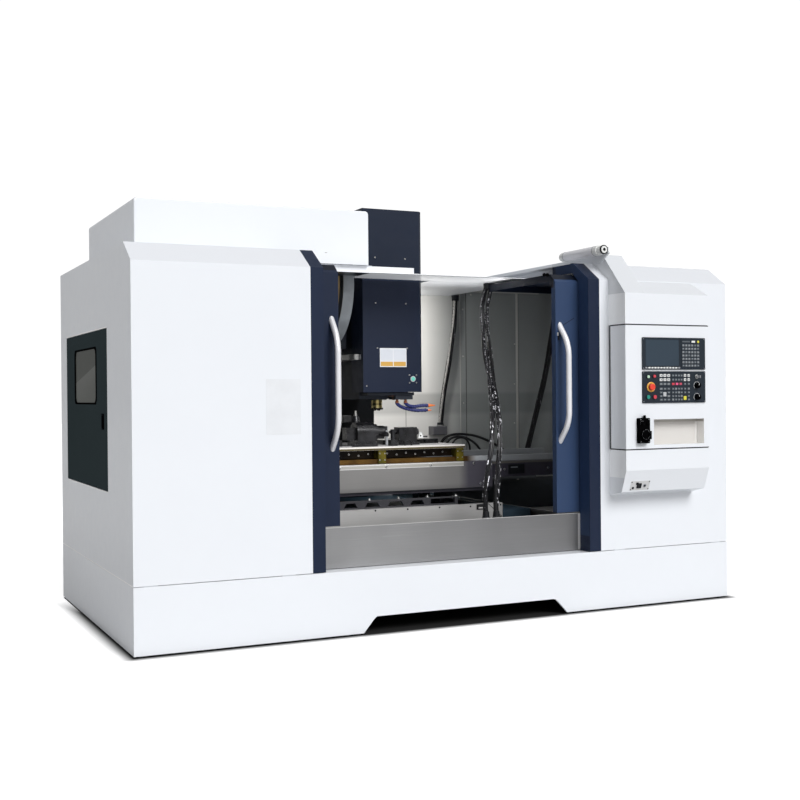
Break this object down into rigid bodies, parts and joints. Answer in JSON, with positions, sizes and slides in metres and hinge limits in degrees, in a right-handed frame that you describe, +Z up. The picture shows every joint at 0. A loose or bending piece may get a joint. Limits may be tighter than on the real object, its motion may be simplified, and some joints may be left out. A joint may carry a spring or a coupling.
{
  "type": "machining center",
  "caption": "Vertical machining center in a sheet-metal enclosure with sliding doors, a swinging control pendant, a disc tool magazine and a T-slot table on crossed slides.",
  "frame": {"origin": "on the floor under the middle of the whole machine, rear column and control pendant included", "axes": "+X to the right of someone facing the doors, +Y from the doors to the rear column, +Z up"},
  "size_m": [4.3, 3.542, 2.947],
  "materials": {
    "white_paint": "satin",
    "blue_paint": "satin",
    "cast": "machined and painted",
    "ground_steel": "ground",
    "stainless": "brushed",
    "dark_paint": "satin",
    "grey_paint": "satin",
    "bright": "polished",
    "gold": "satin",
    "black_rubber": "ribbed",
    "blue_plastic": "segmented",
    "clear": "clear",
    "black_plastic": "fine grain",
    "grey_plastic": "fine grain",
    "red_plastic": "gloss",
    "green_plastic": "gloss",
    "white_plastic": "gloss"
  },
  "bodies": {
    "frame": {"atc_cam_box": "cast", "base_casting": "cast", "cable_bundle_front_a": "black_rubber", "cable_bundle_front_b": "black_rubber", "cable_bundle_rear": "black_rubber", "chip_guard": "stainless", "column_casting": "cast", "control_column": "white_paint", "coolant_tank": "grey_paint", "door_frame_posts": "blue_paint", "door_sill": "stainless", "electrical_cabinet": "grey_paint", "front_panels": "white_paint", "guide_rails": "ground_steel", "hose_arc_a": "black_rubber", "hose_arc_b": "black_rubber", "hose_arc_c": "black_rubber", "hose_right": "black_rubber", "leveling_pads": "dark_paint", "magazine_cover": "white_paint", "magazine_drum": "grey_paint", "rear_wall": "grey_paint", "roof_front_beam": "white_paint", "roof_panels": "white_paint", "servo_motors": "black_plastic", "side_panels": "white_paint", "skirt_panels": "white_paint"},
    "saddle": {"saddle_casting": "cast", "saddle_guard": "stainless"},
    "table": {"table": "ground_steel", "rotary_table": "dark_paint", "tailstock": "ground_steel"},
    "chuck": {"rotary_chuck": "bright"},
    "head": {"head_casting": "cast", "head_cover": "blue_paint", "coolant_hoses": "blue_plastic"},
    "spindle": {"spindle": "ground_steel"},
    "magazine": {"magazine_disc": "gold"},
    "swap_arm": {"atc_arm": "ground_steel"},
    "left_door": {"door_left_panel": "blue_paint", "door_left_handle": "bright"},
    "right_door": {"door_right_panel": "blue_paint", "door_right_handle": "bright"},
    "service_door": {"side_door": "dark_paint", "side_door_window": "clear"},
    "pendant": {"pendant_box": "white_paint", "screen_unit": "black_plastic", "operator_panel": "dark_paint", "handwheel_box": "black_plastic"},
    "emergency_stop": {"emergency_stop": "red_plastic"},
    "power_on": {"power_on_button": "green_plastic"},
    "power_off": {"power_off_button": "red_plastic"},
    "start": {"start_button": "green_plastic"},
    "stop": {"stop_button": "red_plastic"},
    "feed_knob": {"feed_knob": "black_plastic"},
    "rapid_knob": {"rapid_knob": "black_plastic"},
    "key": {"key_switch": "bright"},
    "dial": {"handwheel_dial": "grey_plastic"},
    "lamp": {"signal_lamp": "white_plastic"},
    "cabinet_door": {"cabinet_door": "grey_paint"}
  },
  "joints": [
    {"name": "saddle_y", "type": "slide", "parent": "frame", "child": "saddle", "axis": [0, 1, 0], "range_m": [-0.53, 0.25]},
    {"name": "table_x", "type": "slide", "parent": "saddle", "child": "table", "axis": [1, 0, 0], "range_m": [-0.405, 1.195]},
    {"name": "chuck_spin", "type": "hinge", "parent": "table", "child": "chuck", "pos_m": [-0.14, -0.369, 1.212], "axis": [1, 0, 0], "continuous": true},
    {"name": "head_z", "type": "slide", "parent": "frame", "child": "head", "axis": [0, 0, 1], "range_m": [0, 0.8]},
    {"name": "spindle_spin", "type": "hinge", "parent": "head", "child": "spindle", "pos_m": [0, -0.139, 1.375], "axis": [0, 0, 1], "continuous": true},
    {"name": "magazine_spin", "type": "hinge", "parent": "frame", "child": "magazine", "pos_m": [-0.45, -0.139, 2.28], "axis": [1, 0, 0], "continuous": true},
    {"name": "swap_arm_plunge", "type": "slide", "parent": "frame", "child": "swap_arm", "axis": [0, 0, 1], "range_m": [-0.12, 0]},
    {"name": "left_door_slide", "type": "slide", "parent": "frame", "child": "left_door", "axis": [1, 0, 0], "range_m": [0, 0.812]},
    {"name": "right_door_slide", "type": "slide", "parent": "frame", "child": "right_door", "axis": [1, 0, 0], "range_m": [-0.788, 0]},
    {"name": "service_door_hinge", "type": "hinge", "parent": "frame", "child": "service_door", "pos_m": [-2.156, 0.546, 1.406], "axis": [0, 0, 1], "range_deg": [-110, 0]},
    {"name": "pendant_swing", "type": "hinge", "parent": "frame", "child": "pendant", "pos_m": [1.14, -1.547, 1.51], "axis": [0, 0, 1], "range_deg": [-90, 0]},
    {"name": "emergency_stop_press", "type": "slide", "parent": "pendant", "child": "emergency_stop", "axis": [0, 1, 0], "range_m": [0, 0.006]},
    {"name": "power_on_press", "type": "slide", "parent": "pendant", "child": "power_on", "axis": [0, 1, 0], "range_m": [0, 0.004], "stiffness_N_per_m": 500, "springref_m": -0.002},
    {"name": "power_off_press", "type": "slide", "parent": "pendant", "child": "power_off", "axis": [0, 1, 0], "range_m": [0, 0.004], "stiffness_N_per_m": 500, "springref_m": -0.002},
    {"name": "start_press", "type": "slide", "parent": "pendant", "child": "start", "axis": [0, 1, 0], "range_m": [0, 0.004], "stiffness_N_per_m": 500, "springref_m": -0.002},
    {"name": "stop_press", "type": "slide", "parent": "pendant", "child": "stop", "axis": [0, 1, 0], "range_m": [0, 0.004], "stiffness_N_per_m": 500, "springref_m": -0.002},
    {"name": "feed_knob_turn", "type": "hinge", "parent": "pendant", "child": "feed_knob", "pos_m": [1.72, -1.719, 1.532], "axis": [0, 1, 0], "range_deg": [-135, 135]},
    {"name": "rapid_knob_turn", "type": "hinge", "parent": "pendant", "child": "rapid_knob", "pos_m": [1.72, -1.719, 1.452], "axis": [0, 1, 0], "range_deg": [-135, 135]},
    {"name": "key_turn", "type": "hinge", "parent": "pendant", "child": "key", "pos_m": [1.721, -1.719, 1.593], "axis": [0, 1, 0], "range_deg": [0, 90]},
    {"name": "dial_turn", "type": "hinge", "parent": "pendant", "child": "dial", "pos_m": [1.255, -1.749, 1.203], "axis": [0, 1, 0], "continuous": true},
    {"name": "lamp_fold", "type": "hinge", "parent": "frame", "child": "lamp", "pos_m": [1.085, -1.519, 2.462], "axis": [1, 0, 0], "range_deg": [0, 90]},
    {"name": "cabinet_door_hinge", "type": "hinge", "parent": "frame", "child": "cabinet_door", "pos_m": [2, 1.305, 1.2], "axis": [0, 0, 1], "range_deg": [-110, 0]}
  ]
}
